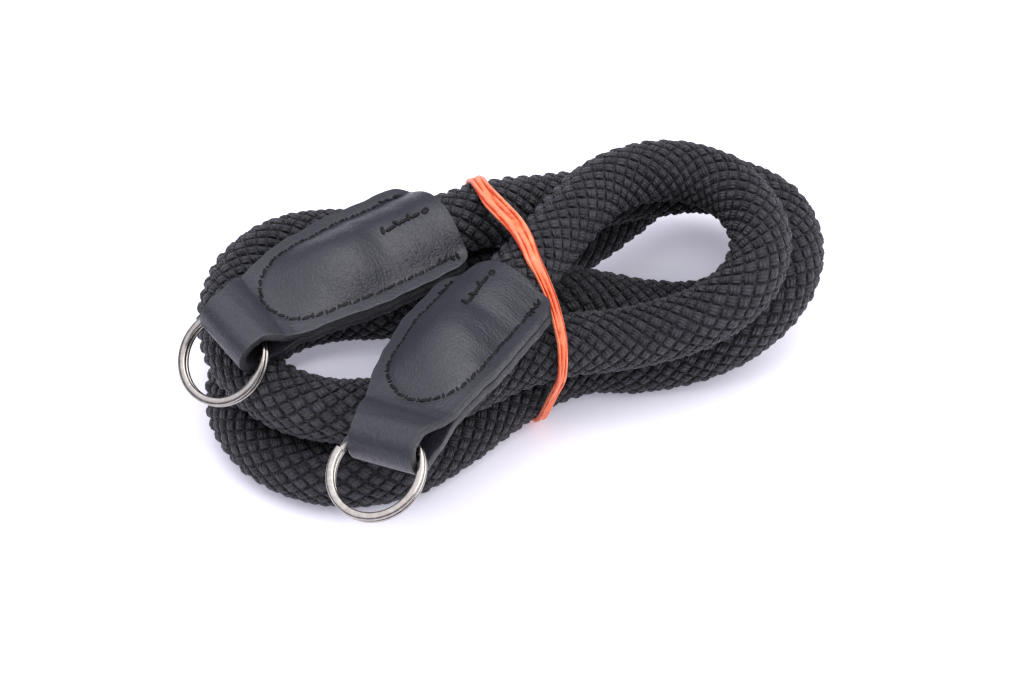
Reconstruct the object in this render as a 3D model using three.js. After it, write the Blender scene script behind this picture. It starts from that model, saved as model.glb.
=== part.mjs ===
// Rope camera strap, in millimetres, +Z up.
// One length of round braided rope lies in a hank of three right loops and two left loops. A rubber band
// ties it at the waist. Each end is held in a folded leather tab, whose fold carries a split ring.
import * as THREE from "three";
import { mergeVertices } from "three/addons/utils/BufferGeometryUtils.js";

// Driving dimensions.
const GAP = 0.3;
const UP = new THREE.Vector3(0, 0, 1);
const ROPE = { diameter: 14, sides: 12, steps: 120 };
const TAB = {
  thickness: 1.6,
  length: 55,
  ropeInside: 29,
  layerGap: 0.2,
  bulgeSpread: Math.PI / 3,
  mouthFlare: 0.4,
  cornerRadius: 5,
  eyeHalfHeight: 3.9,
  eyeFlatLength: 2,
};
const RING = { outerRadius: 10.3, wireWidth: 1.9, wireThickness: 0.85, turnSpacing: 0.95, steps: 58 };
const BAND = { width: 3.6, thickness: 1, gap: 0.4, points: 64 };
const BAND_PLANE = {
  through: new THREE.Vector3(-7.2, 7.2, 0),
  along: new THREE.Vector3(0.42, -0.9075, 0).normalize(),
};

// The route is laid out round the middle of the floor, and this brings the origin under the strap's box.
const LAYOUT_SHIFT = { x: 0.05, y: 18.05, z: -0.06 };

// The section keeps the area of a round rope of the same diameter.
const ropeSector = (2 * Math.PI) / ROPE.sides;
const ropeCorner = (ROPE.diameter / 2) * Math.sqrt(ropeSector / Math.sin(ropeSector));

// Materials.
const ropeFibre = new THREE.MeshStandardMaterial({ color: 0x17171a, roughness: 0.75, metalness: 0 });
const tabLeather = new THREE.MeshStandardMaterial({ color: 0x2a2a2d, roughness: 0.5, metalness: 0 });
const ringNickel = new THREE.MeshStandardMaterial({ color: 0xc9c6c0, roughness: 0.15, metalness: 1 });
const bandRubber = new THREE.MeshStandardMaterial({ color: 0xf08a35, roughness: 0.45, metalness: 0 });

// The rope's route, from the end in tab B to the end in tab A.
const routePoints = [
  // Out of tab B and over the top of the waist.
  [-14.6, -52.5, 39], [-8.1, -41.5, 38.9], [-1.6, -30.5, 38.8], [4.9, -19.5, 39.1], [11.8, -8, 40.1],
  // Top right loop.
  [19.5, 3.5, 40.5], [29, 10.5, 39.5], [38, 13, 38], [46.5, 10.5, 36.3], [52, 4, 34.3], [54, -4.5, 32],
  [51.5, -13, 29], [45, -18.5, 25.5], [36, -21.5, 22.5],
  // Front of the waist.
  [24, -24, 20.8], [12, -27.5, 22], [1, -32.5, 22.4], [-9, -38.8, 21.8],
  // Upper left loop.
  [-18, -44, 21.3], [-27.5, -47.5, 21.4], [-37, -48, 21.5], [-46.5, -44.5, 21.5], [-54, -37.5, 21.4],
  [-59.5, -27, 22], [-61, -15, 23], [-58, -3.5, 23.5], [-51, 4.5, 23.5],
  // Inside the waist.
  [-41, 8, 23], [-29, 6.5, 22], [-17, 1.8, 22.2], [-5, -3, 21.2], [7, -5, 19],
  // Bottom right loop, mostly hidden.
  [19, -2.7, 14], [31, -0.5, 9.5], [42, 2, 7.5], [51, 7, 7.5], [57, 15, 9], [59, 24.5, 10.5], [57, 34, 12.5],
  [50.5, 40.5, 14.5], [41.5, 42, 15.5], [33, 38, 15],
  // Back of the waist.
  [25, 31, 13], [17.5, 23.8, 11.7], [9, 16.8, 11.2], [-2.5, 11, 11], [-15, 5.4, 8.5], [-27.5, 3, 7.1],
  // Lower left loop, on the surface.
  [-40, 2, 7], [-50.5, -2.5, 7], [-57.5, -11, 7], [-60, -22.5, 7], [-58, -34.5, 7], [-52, -44, 7],
  [-43.5, -50, 7], [-33.5, -52, 7], [-23.5, -49.5, 7], [-14, -42.5, 7.4],
  // Under the front of the waist.
  [-4, -32.5, 8.2], [6, -23.5, 9], [16.5, -17.5, 8.3],
  // Outer right loop.
  [28, -15.5, 7], [39.5, -14, 8.5], [49, -12, 12], [56.5, -7.5, 16], [61.5, -0.5, 19.5], [63, 8, 22],
  [60, 17, 24], [52.5, 22.5, 25.5], [42.5, 25, 26], [31, 22.5, 26.5],
  // Over the back of the waist and into tab A.
  [19.5, 17, 28], [8, 10.3, 31], [-3, 3.3, 34.3], [-12.5, -4.4, 37], [-21, -11, 38], [-30, -18, 38],
  [-39, -25, 38],
];

// A curve whose sections keep one side level, so that the rope lies on a flat facet.
class LevelCurve extends THREE.CatmullRomCurve3 {
  computeFrenetFrames(segments) {
    const frames = { tangents: [], normals: [], binormals: [] };
    for (let i = 0; i <= segments; i++) {
      const tangent = this.getTangentAt(i / segments);
      const side = new THREE.Vector3().crossVectors(UP, tangent).normalize();
      frames.tangents.push(tangent);
      frames.normals.push(side);
      frames.binormals.push(new THREE.Vector3().crossVectors(tangent, side));
    }
    return frames;
  }
}

const route = new LevelCurve(routePoints.map((point) => new THREE.Vector3(...point)), false, "centripetal");
route.arcLengthDivisions = 2000;

function closedGeometry(geometry) {
  geometry.deleteAttribute("normal");
  geometry.deleteAttribute("uv");
  return mergeVertices(geometry, 1e-4);
}

function namedMesh(name, geometry, material) {
  const mesh = new THREE.Mesh(geometry, material);
  mesh.name = name;
  return mesh;
}

function ropeMesh() {
  const section = new THREE.Shape();
  for (let i = 0; i < ROPE.sides; i++) {
    const angle = (i + 0.5) * ropeSector;
    const corner = [ropeCorner * Math.cos(angle), ropeCorner * Math.sin(angle)];
    if (i === 0) section.moveTo(...corner);
    else section.lineTo(...corner);
  }
  const geometry = new THREE.ExtrudeGeometry(section, {
    extrudePath: route,
    steps: ROPE.steps,
    bevelEnabled: false,
  });
  return namedMesh("rope", geometry, ropeFibre);
}

// Leather tabs. u runs along a tab from its open wide end to its fold, and v across it.
const tabWidths = [
  { u: 0, width: 27 },
  { u: 20, width: 27.5 },
  { u: 31, width: 25.5 },
  { u: 39, width: 22.5 },
  { u: 45, width: 19 },
  { u: 49, width: 15.5 },
  { u: 55, width: 15 },
];
const tabStretches = [
  { name: "mouth", until: 5, rows: 2 },
  { name: "round the rope", until: 30, rows: 4 },
  { name: "down to both layers", until: 38, rows: 4 },
  { name: "both layers", until: 42, rows: 1 },
  { name: "eye opens", until: TAB.length - TAB.eyeHalfHeight, rows: 4 },
  { name: "fold", until: TAB.length, rows: 4 },
];
const [mouthEnd, bulgeEnd, rampEnd, eyeStart, foldStart] = tabStretches.map((stretch) => stretch.until);
const columnShares = [0, 0.21, 0.4, 0.54, 0.68, 0.84, 1];

const bulgeRadius = (ropeCorner + GAP) / Math.cos(TAB.bulgeSpread / 6) + TAB.thickness / 2;
const bulgeSide = bulgeRadius * Math.sin(TAB.bulgeSpread);
const bulgeSideHeight = bulgeRadius * Math.cos(TAB.bulgeSpread);
const layerHeight = (TAB.thickness + TAB.layerGap) / 2;

function tabWidth(u) {
  const next = Math.max(1, tabWidths.findIndex((row) => row.u >= u));
  const [before, after] = [tabWidths[next - 1], tabWidths[next]];
  return THREE.MathUtils.mapLinear(u, before.u, after.u, before.width, after.width);
}

// Height of a layer's middle above the plane between the two layers.
function layerRise(u, v) {
  const across = Math.abs(v);
  const flare = TAB.mouthFlare * Math.max(0, 1 - u / mouthEnd);
  let bulge = Math.sqrt(Math.max(0, bulgeRadius ** 2 - across ** 2)) + flare;
  if (across > bulgeSide) bulge = bulgeSideHeight + flare - (across - bulgeSide) * Math.tan(TAB.bulgeSpread);
  const overRope = Math.max(0, bulge - layerHeight) * (1 - THREE.MathUtils.smoothstep(u, bulgeEnd, rampEnd));
  const eyeOpening = THREE.MathUtils.smoothstep(u, eyeStart, foldStart - TAB.eyeFlatLength);
  const eye = (TAB.eyeHalfHeight - layerHeight) * eyeOpening;
  return layerHeight + overRope + eye;
}

// A tab's middle line is straight over the rope, then droops evenly.
function tabFrame(tab, u) {
  const bend = Math.max(0, u - TAB.ropeInside);
  const drooping = TAB.length - TAB.ropeInside;
  const angle = (tab.droop * bend) / drooping;
  const radius = drooping / tab.droop;
  const side = new THREE.Vector3().crossVectors(UP, tab.axis).normalize().applyAxisAngle(tab.axis, tab.roll);
  const over = new THREE.Vector3().crossVectors(tab.axis, side);
  const forward = Math.min(u, TAB.ropeInside) + radius * Math.sin(angle);
  const drop = radius * (1 - Math.cos(angle));
  return {
    point: tab.mouth.clone().addScaledVector(tab.axis, forward).addScaledVector(over, -drop),
    tangent: tab.axis.clone().multiplyScalar(Math.cos(angle)).addScaledVector(over, -Math.sin(angle)),
    over: over.clone().multiplyScalar(Math.cos(angle)).addScaledVector(tab.axis, Math.sin(angle)),
    side,
  };
}

// Point on the middle of the leather. The strip runs from the open end of the top layer, at -1, through the
// fold, at 0, to the open end of the bottom layer, at 1.
function leatherPoint(tab, run, share) {
  const layer = run < 0 ? 1 : -1;
  const rows = tabStretches.reduce((sum, stretch) => sum + stretch.rows, 0);
  let row = (1 - Math.abs(run)) * rows;
  let start = 0;
  let u = 0;
  let rise = null;
  for (const stretch of tabStretches) {
    const part = Math.min(1, row / stretch.rows);
    if (stretch.name === "fold" && row > 0) {
      u = start + TAB.eyeHalfHeight * Math.sin((part * Math.PI) / 2);
      rise = TAB.eyeHalfHeight * Math.cos((part * Math.PI) / 2);
      break;
    }
    u = THREE.MathUtils.lerp(start, stretch.until, part);
    if (row <= stretch.rows) break;
    row -= stretch.rows;
    start = stretch.until;
  }
  const v = (share * tabWidth(u)) / 2;
  const corner = THREE.MathUtils.clamp(Math.abs(v) - tabWidth(u) / 2 + TAB.cornerRadius, 0, TAB.cornerRadius);
  const cornerCut = TAB.cornerRadius - Math.sqrt(TAB.cornerRadius ** 2 - corner ** 2);
  u += cornerCut * Math.max(0, 1 - u / bulgeEnd);
  const frame = tabFrame(tab, u);
  return frame.point
    .addScaledVector(frame.side, v)
    .addScaledVector(frame.over, layer * (rise ?? layerRise(u, v)));
}

function tabMesh(name, tab) {
  const rows = 2 * tabStretches.reduce((sum, stretch) => sum + stretch.rows, 0);
  const columns = 2 * (columnShares.length - 1);
  const geometry = closedGeometry(new THREE.BoxGeometry(2, columns, 2, rows, columns, 1));
  const position = geometry.getAttribute("position");
  const nudge = 1e-3;
  for (let i = 0; i < position.count; i++) {
    const run = position.getX(i);
    const column = Math.round(position.getY(i));
    const share = Math.sign(column) * columnShares[Math.abs(column)];
    const point = leatherPoint(tab, run, share);
    const along = leatherPoint(tab, Math.min(1, run + nudge), share)
      .sub(leatherPoint(tab, Math.max(-1, run - nudge), share));
    const across = leatherPoint(tab, run, share + nudge).sub(leatherPoint(tab, run, share - nudge));
    const outward = along.cross(across).normalize();
    point.addScaledVector(outward, (position.getZ(i) * TAB.thickness) / 2);
    position.setXYZ(i, point.x, point.y, point.z);
  }
  return namedMesh(name, geometry, tabLeather);
}

// Split ring: flat wire, which steps from the lower to the upper turn just before a full turn.
function ringMesh(name, ring) {
  const fullTurn = 2 * Math.PI;
  const stepLength = fullTurn / 12;
  const wireLength = 2 * fullTurn - stepLength;
  const halfWidth = RING.wireWidth / 2;
  const halfThickness = RING.wireThickness / 2;
  const chamfer = RING.wireThickness / 4;
  const section = [
    [-halfWidth, -halfThickness], [halfWidth - chamfer, -halfThickness], [halfWidth, chamfer - halfThickness],
    [halfWidth, halfThickness - chamfer], [halfWidth - chamfer, halfThickness], [-halfWidth, halfThickness],
  ];
  const shape = new THREE.Shape(section.map((corner) => new THREE.Vector2(...corner)));
  const geometry = new THREE.ExtrudeGeometry(shape, { depth: 1, steps: RING.steps, bevelEnabled: false });
  const position = geometry.getAttribute("position");
  for (let i = 0; i < position.count; i++) {
    const turned = position.getZ(i) * wireLength;
    const risen = THREE.MathUtils.clamp((turned - fullTurn + stepLength) / stepLength, 0, 1);
    const radius = RING.outerRadius - halfWidth + position.getX(i);
    const height = (risen - 0.5) * RING.turnSpacing + position.getY(i);
    position.setXYZ(i, radius * Math.cos(turned), -radius * Math.sin(turned), height);
  }
  const mesh = namedMesh(name, geometry, ringNickel);
  const sideways = new THREE.Vector3().crossVectors(ring.face, ring.wireStart).normalize();
  const towardsStart = new THREE.Vector3().crossVectors(sideways, ring.face);
  mesh.quaternion.setFromRotationMatrix(new THREE.Matrix4().makeBasis(towardsStart, sideways, ring.face));
  mesh.position.copy(ring.centre);
  return mesh;
}

// The tie band is drawn tight round every strand that crosses its upright plane.
function convexOutline(points) {
  const sorted = [...points].sort((a, b) => a.x - b.x || a.y - b.y);
  const chain = (list) => {
    const kept = [];
    for (const point of list) {
      while (kept.length > 1) {
        const [before, last] = kept.slice(-2);
        if (last.clone().sub(before).cross(point.clone().sub(last)) > 0) break;
        kept.pop();
      }
      kept.push(point);
    }
    return kept.slice(0, -1);
  };
  return [...chain(sorted), ...chain(sorted.reverse())];
}

function bandMesh() {
  const { through, along } = BAND_PLANE;
  const across = new THREE.Vector3().crossVectors(along, UP);
  const samples = 3000;
  const spokes = 24;
  const reach = BAND.width / 2 + BAND.gap;
  const crossed = [];
  for (let i = 0; i <= samples; i++) {
    const centre = route.getPoint(i / samples);
    const offset = centre.clone().sub(through);
    if (Math.abs(offset.dot(across)) > reach + ropeCorner) continue;
    const tangent = route.getTangent(i / samples);
    const side = new THREE.Vector3().crossVectors(UP, tangent).normalize();
    const over = new THREE.Vector3().crossVectors(tangent, side);
    for (let spoke = 0; spoke < spokes; spoke++) {
      const angle = (spoke / spokes) * 2 * Math.PI;
      const point = offset.clone()
        .addScaledVector(side, ropeCorner * Math.cos(angle))
        .addScaledVector(over, ropeCorner * Math.sin(angle));
      if (Math.abs(point.dot(across)) < reach) crossed.push(new THREE.Vector2(point.dot(along), point.z));
    }
  }
  const grown = (distance) => {
    const discs = convexOutline(crossed).flatMap((point) =>
      Array.from({ length: BAND.points }, (_, i) => {
        const angle = ((i + 0.5) / BAND.points) * 2 * Math.PI;
        return new THREE.Vector2(Math.cos(angle), Math.sin(angle)).multiplyScalar(distance).add(point);
      }));
    const outline = convexOutline(discs);
    const loop = new THREE.Path([...outline, outline[0]]);
    return loop.getSpacedPoints(BAND.points).slice(0, -1);
  };
  const shape = new THREE.Shape(grown(BAND.gap + BAND.thickness));
  shape.holes.push(new THREE.Path(grown(BAND.gap)));
  const geometry = new THREE.ExtrudeGeometry(shape, { depth: BAND.width, bevelEnabled: false });
  geometry.translate(0, 0, -BAND.width / 2);
  const mesh = namedMesh("tie_band", geometry, bandRubber);
  mesh.quaternion.setFromRotationMatrix(new THREE.Matrix4().makeBasis(along, UP, across));
  mesh.position.copy(through);
  return mesh;
}

// A tab starts where the rope enters it and follows the rope's end.
function tabAt(ropeEndPoint, beforePoint, droopDegrees, rollDegrees) {
  const end = new THREE.Vector3(...ropeEndPoint);
  const axis = end.clone().sub(new THREE.Vector3(...beforePoint)).normalize();
  return {
    axis,
    mouth: end.clone().addScaledVector(axis, -TAB.ropeInside),
    droop: THREE.MathUtils.degToRad(droopDegrees),
    roll: THREE.MathUtils.degToRad(rollDegrees),
  };
}

const tabA = tabAt(routePoints.at(-1), routePoints.at(-2), 24, -9);
const tabB = tabAt(routePoints[0], routePoints[1], 33, 9);
const ringA = {
  centre: new THREE.Vector3(-60.05, -40, 30.8),
  face: new THREE.Vector3(-0.34, -0.454, 0.824).normalize(),
  wireStart: new THREE.Vector3(1, 0, 0),
};
const ringB = {
  centre: new THREE.Vector3(-26.5, -75.4, 30.7),
  face: new THREE.Vector3(-0.383, -0.431, 0.817).normalize(),
  wireStart: new THREE.Vector3(-1, 0, 0.3),
};

const strap = new THREE.Group();
strap.add(ropeMesh());
strap.add(tabMesh("end_tab_a", tabA));
strap.add(tabMesh("end_tab_b", tabB));
strap.add(ringMesh("split_ring_a", ringA));
strap.add(ringMesh("split_ring_b", ringB));
strap.add(bandMesh());

// The origin is the middle of the strap's box, on the surface that the rope lies on.
strap.position.set(LAYOUT_SHIFT.x, LAYOUT_SHIFT.y, LAYOUT_SHIFT.z);

export default strap;
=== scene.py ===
import math

import bpy
import numpy as np
from mathutils import Matrix, Vector


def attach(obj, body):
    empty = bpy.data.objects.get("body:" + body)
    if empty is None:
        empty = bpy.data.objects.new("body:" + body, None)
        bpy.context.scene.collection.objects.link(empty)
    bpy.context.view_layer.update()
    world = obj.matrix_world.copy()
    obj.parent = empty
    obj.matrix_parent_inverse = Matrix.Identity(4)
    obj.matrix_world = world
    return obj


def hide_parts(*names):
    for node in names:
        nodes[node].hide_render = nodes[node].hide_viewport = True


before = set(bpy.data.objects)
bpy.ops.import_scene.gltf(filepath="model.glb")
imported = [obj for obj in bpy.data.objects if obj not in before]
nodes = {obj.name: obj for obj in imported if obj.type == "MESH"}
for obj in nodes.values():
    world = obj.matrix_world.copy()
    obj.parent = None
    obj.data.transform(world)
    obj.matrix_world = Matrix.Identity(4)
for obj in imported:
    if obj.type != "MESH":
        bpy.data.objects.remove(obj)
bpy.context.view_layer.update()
bpy.ops.object.select_all(action="DESELECT")
print("frame loaded:", ", ".join(sorted(nodes)))

mm = 0.001
smoothAngle = 40  # degrees, sharper edges stay sharp
noiseRange = (0.3, 0.7)  # nearly all values of a noise texture lie between these
layoutShift = np.array([0.05, 18.05, -0.06])  # mm, from the layout below to the frame


def linearColour(hexColour):  # sRGB hex to linear, with an alpha of 1
    channels = [int(hexColour[i:i + 2], 16) / 255 for i in (1, 3, 5)]
    return [c / 12.92 if c <= 0.04045 else ((c + 0.055) / 1.055) ** 2.4 for c in channels] + [1.0]


def smoothStep(value, low, high):
    t = np.clip((value - low) / (high - low), 0, 1)
    return t * t * (3 - 2 * t)


def unit(vector):
    vector = np.asarray(vector, float)
    return vector / np.linalg.norm(vector, axis=-1, keepdims=True)


def getPoints(obj):
    points = np.empty(len(obj.data.vertices) * 3)
    obj.data.vertices.foreach_get("co", points)
    return points.reshape(-1, 3)


def setPoints(obj, points):
    obj.data.vertices.foreach_set("co", np.asarray(points, float).ravel())
    obj.data.update()


def newestPiece(name):  # the primitive that was just added, with its place moved into its mesh
    piece = bpy.context.object
    piece.name = piece.data.name = name
    piece.data.transform(piece.matrix_world)
    piece.matrix_world = Matrix.Identity(4)
    return piece


def meshPiece(name, points, faces):
    mesh = bpy.data.meshes.new(name)
    mesh.from_pydata(points, [], faces)
    piece = bpy.data.objects.new(name, mesh)
    bpy.context.scene.collection.objects.link(piece)
    return piece


def selectOnly(piece):
    bpy.ops.object.select_all(action="DESELECT")
    piece.select_set(True)
    bpy.context.view_layer.objects.active = piece


def applyModifiers(piece):
    selectOnly(piece)
    for modifier in list(piece.modifiers):
        bpy.ops.object.modifier_apply(modifier=modifier.name)


def pointFacesOutwards():  # of the piece that is active and selected
    bpy.ops.object.mode_set(mode="EDIT")
    bpy.ops.mesh.select_all(action="SELECT")
    bpy.ops.mesh.normals_make_consistent(inside=False)
    bpy.ops.object.mode_set(mode="OBJECT")


def finishPiece(piece, material):
    piece.data.materials.clear()
    piece.data.materials.append(material)
    selectOnly(piece)
    bpy.ops.object.shade_smooth_by_angle(angle=math.radians(smoothAngle))
    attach(piece, "root")


def startMaterial(name, settings):
    material = bpy.data.materials.new(name)
    material.use_nodes = True
    shader = material.node_tree.nodes["Principled BSDF"]
    for socket, value in settings.items():
        shader.inputs[socket].default_value = value
    return material, shader


def addNode(material, kind, settings=None, inputs=None):
    node = material.node_tree.nodes.new("ShaderNode" + kind)
    for name, value in (settings or {}).items():
        setattr(node, name, value)
    for socket, value in (inputs or {}).items():
        if isinstance(value, bpy.types.NodeSocket):
            material.node_tree.links.new(value, node.inputs[socket])
        else:
            node.inputs[socket].default_value = value
    return node


camera = {
    "position": (0.05, -407.85, 357.34),  # mm, 40 degrees above the floor
    "target": (0.05, 18.05, -0.06),
    "lens": 86,
}

bpy.ops.object.camera_add(location=Vector(camera["position"]) * mm)
viewCamera = bpy.context.object
aim = Vector(camera["target"]) - Vector(camera["position"])
viewCamera.rotation_euler = aim.to_track_quat("-Z", "Y").to_euler()
viewCamera.data.lens = camera["lens"]
viewCamera.data.sensor_width = 36
viewCamera.data.clip_start = 0.01
bpy.context.scene.camera = viewCamera
print("camera placed")


# The rope lies in five loops, from the end in tab B to the end in tab A. Sizes are in mm.
rope = {
    "diameter": 14,
    "columns": 48,  # round the rope
    "rowStep": 0.458,  # makes the strands run at 45 degrees to the rope
    "grooveRadius": 6.18,
    "strandHeight": 0.8,
    "lowestCrossing": 0.8,  # of the strand height
    "crossingSpread": 0.3,
    "seed": 7,
    # where turns of the rope press on each other under the band: place along the rope, reach, rise
    "squeezed": ((501, 14, 0.45), (828, 12, 0.45), (337, 10, 0.3)),
    "cellSteps": 4,  # mesh steps along one side of a crossing
    "acrossProfile": (0, 0.92, 1, 0.92),
    "alongProfile": (0, 0.72, 1, 0.72),
    "flattenedTo": 0.82,  # inside the tabs
    "flatUntil": 20,  # from either end
    "roundFrom": 32,
    "pathPoints": 400,
    "ribs": 3,  # yarns side by side in one strand
    "endNarrowing": 0.26,  # a strand is narrower where it dives under the next
    "ribSquareness": 0.6,
    "ribEnd": (0.16, 0.86),  # each yarn reaches a little further in its middle
    "sideSteepness": 6.0,
    "endSteepness": 3.0,
    "ribDepth": 0.5,
    "fibreDepth": 0.3,
    "fibreScale": (1.6, 14.0, 9.0),  # to a crossing of 2.6 mm, coarser than real fibres to show at all
    "bumpHeight": 0.9,
    "topColour": "#2b2b30",
    # painted shade: the black of the gaps between the strands
    "gapShadeColour": "#040405",
    "fuzzColour": "#cfcad6",
    "gapShadeDepths": (0.05, 0.66),  # painted shade: black below the first, full colour above the second
    "strandShades": (0.6, 1.4),
    "fibreShades": (0.8, 1.2),
    "route": [
        # out of tab B
        [-14.6, -52.5, 39], [-8.1, -41.5, 38.9], [-1.6, -30.5, 38.8], [4.9, -19.5, 39.1],
        [11.8, -8, 40.1],
        # top right loop
        [19.5, 3.5, 40.5], [29, 10.5, 39.5], [38, 13, 38], [46.5, 10.5, 36.3], [52, 4, 34.3],
        [54, -4.5, 32], [51.5, -13, 29], [45, -18.5, 25.5], [36, -21.5, 22.5],
        # front of the waist
        [24, -24, 20.8], [12, -27.5, 22], [1, -32.5, 22.4], [-9, -38.8, 21.8],
        # upper left loop
        [-18, -44, 21.3], [-27.5, -47.5, 21.4], [-37, -48, 21.5], [-46.5, -44.5, 21.5],
        [-54, -37.5, 21.4], [-59.5, -27, 22], [-61, -15, 23], [-58, -3.5, 23.5], [-51, 4.5, 23.5],
        # inside the waist
        [-41, 8, 23], [-29, 6.5, 22], [-17, 1.8, 22.2], [-5, -3, 21.2], [7, -5, 19],
        # bottom right loop
        [19, -2.7, 14], [31, -0.5, 9.5], [42, 2, 7.5], [51, 7, 7.5], [57, 15, 9], [59, 24.5, 10.5],
        [57, 34, 12.5], [50.5, 40.5, 14.5], [41.5, 42, 15.5], [33, 38, 15],
        # back of the waist
        [25, 31, 13], [17.5, 23.8, 11.7], [9, 16.8, 11.2], [-2.5, 11, 11], [-15, 5.4, 8.5],
        [-27.5, 3, 7.1],
        # lower left loop
        [-40, 2, 7], [-50.5, -2.5, 7], [-57.5, -11, 7], [-60, -22.5, 7], [-58, -34.5, 7], [-52, -44, 7],
        [-43.5, -50, 7], [-33.5, -52, 7], [-23.5, -49.5, 7], [-14, -42.5, 7.4],
        # under the front of the waist
        [-4, -32.5, 8.2], [6, -23.5, 9], [16.5, -17.5, 8.3],
        # outer right loop
        [28, -15.5, 7], [39.5, -14, 8.5], [49, -12, 12], [56.5, -7.5, 16], [61.5, -0.5, 19.5],
        [63, 8, 22], [60, 17, 24], [52.5, 22.5, 25.5], [42.5, 25, 26], [31, 22.5, 26.5],
        # over the back of the waist and into tab A
        [19.5, 17, 28], [8, 10.3, 31], [-3, 3.3, 34.3], [-12.5, -4.4, 37], [-21, -11, 38],
        [-30, -18, 38], [-39, -25, 38],
    ],
}


def smoothRoute(points, perSpan=40):  # one smooth curve through every point
    points = np.array(points, float)
    points = np.vstack([2 * points[0] - points[1], points, 2 * points[-1] - points[-2]])
    t = np.linspace(0, 1, perSpan, endpoint=False)[:, None]
    line = []
    for before, start, end, after in zip(points, points[1:], points[2:], points[3:]):
        steps = [start - before, end - start, after - end]
        first, middle, last = [np.linalg.norm(step) ** 0.5 for step in steps]
        leave = steps[0] / first - (end - before) / (first + middle) + steps[1] / middle
        arrive = steps[1] / middle - (after - start) / (middle + last) + steps[2] / last
        leave, arrive = leave * middle, arrive * middle
        square = 3 * (end - start) - 2 * leave - arrive
        cube = 2 * (start - end) + leave + arrive
        line.append(start + leave * t + square * t ** 2 + cube * t ** 3)
    return np.vstack(line + [points[-2][None]])


def spacedAlong(line, count):  # points at even steps, and how far along each one is
    reached = np.concatenate([[0], np.cumsum(np.linalg.norm(np.diff(line, axis=0), axis=1))])
    wanted = np.linspace(0, reached[-1], count)
    return np.stack([np.interp(wanted, reached, line[:, i]) for i in range(3)], axis=1), wanted


def braidedRope():
    line = smoothRoute(rope["route"])
    length = np.linalg.norm(np.diff(line, axis=0), axis=1).sum()
    rows = 2 * round(length / rope["rowStep"] / 2)
    columns, steps = rope["columns"], rope["cellSteps"]
    centres, reached = spacedAlong(line, rows + 1)
    along = unit(np.gradient(centres, axis=0))
    side = unit(np.cross((0, 0, 1), along))
    over = np.cross(along, side)

    # the mesh runs along both ways of the braid, so its quads lie on the slant like the strands
    row, column = np.mgrid[0:rows + 1, 0:columns]
    strandA = column + (row + row % 2) // 2
    strandB = column + (row % 2 - row) // 2
    cellA, cellB = strandA // steps, strandB // steps
    inA, inB = strandA % steps, strandB % steps
    across, lengthwise = np.array(rope["acrossProfile"]), np.array(rope["alongProfile"])
    runsAlongA = (cellA + cellB) % 2 == 0
    height = np.where(runsAlongA, lengthwise[inA] * across[inB], lengthwise[inB] * across[inA])
    turns = (2 * (cellA + cellB + 1)) // columns  # a crossing over the seam belongs to one turn only
    perTurn = columns // steps
    chance = np.random.default_rng(rope["seed"]).random((2 * rows // steps + 8, 2 * perTurn))
    place = chance[(cellA - cellB) % len(chance), (cellA + cellB - 2 * perTurn * turns) % (2 * perTurn)]
    unevenness = rope["lowestCrossing"] + rope["crossingSpread"] * place
    radius = rope["grooveRadius"] + rope["strandHeight"] * height * unevenness
    for where, reach, rise in rope["squeezed"]:
        radius += rise * np.exp(-((reached - where) / reach) ** 2)[:, None]

    turn = (column + 0.5 * (row % 2)) * 2 * math.pi / columns
    fromEnd = np.minimum(reached, length - reached)
    inTab = 1 - smoothStep(fromEnd, rope["flatUntil"], rope["roundFrom"])
    flat = (1 - (1 - rope["flattenedTo"]) * inTab)[:, None]
    points = (centres[:, None]
              + side[:, None] * (radius * np.cos(turn))[..., None]
              + over[:, None] * (radius * np.sin(turn) * flat)[..., None])

    faces, weave = [], []

    def corner(r, c):  # a point's number, while its place in the weave is noted for the UV map
        a, b = c + (r + r % 2) // 2, c + (r % 2 - r) // 2
        weave.append((a / steps, b / steps))
        return r * columns + c % columns

    for c in range(columns):
        faces.append([corner(0, c), corner(0, c + 1), corner(1, c)])
    for r in range(1, rows):
        shift = r % 2
        for c in range(columns):
            faces.append([corner(r - 1, c + shift), corner(r, c + 1),
                          corner(r + 1, c + shift), corner(r, c)])
    for c in range(columns):
        faces.append([corner(rows, c + 1), corner(rows, c), corner(rows - 1, c)])
    faces.append([corner(0, c) for c in reversed(range(columns))])
    faces.append([corner(rows, c) for c in range(columns)])

    piece = meshPiece("braided_rope", ((points + layoutShift) * mm).reshape(-1, 3).tolist(), faces)
    uv = piece.data.uv_layers.new(name="weave")
    uv.data.foreach_set("uv", np.array(weave, float).ravel())
    route = (spacedAlong(line, rope["pathPoints"])[0] + layoutShift) * mm
    return piece, route, length * mm
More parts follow.
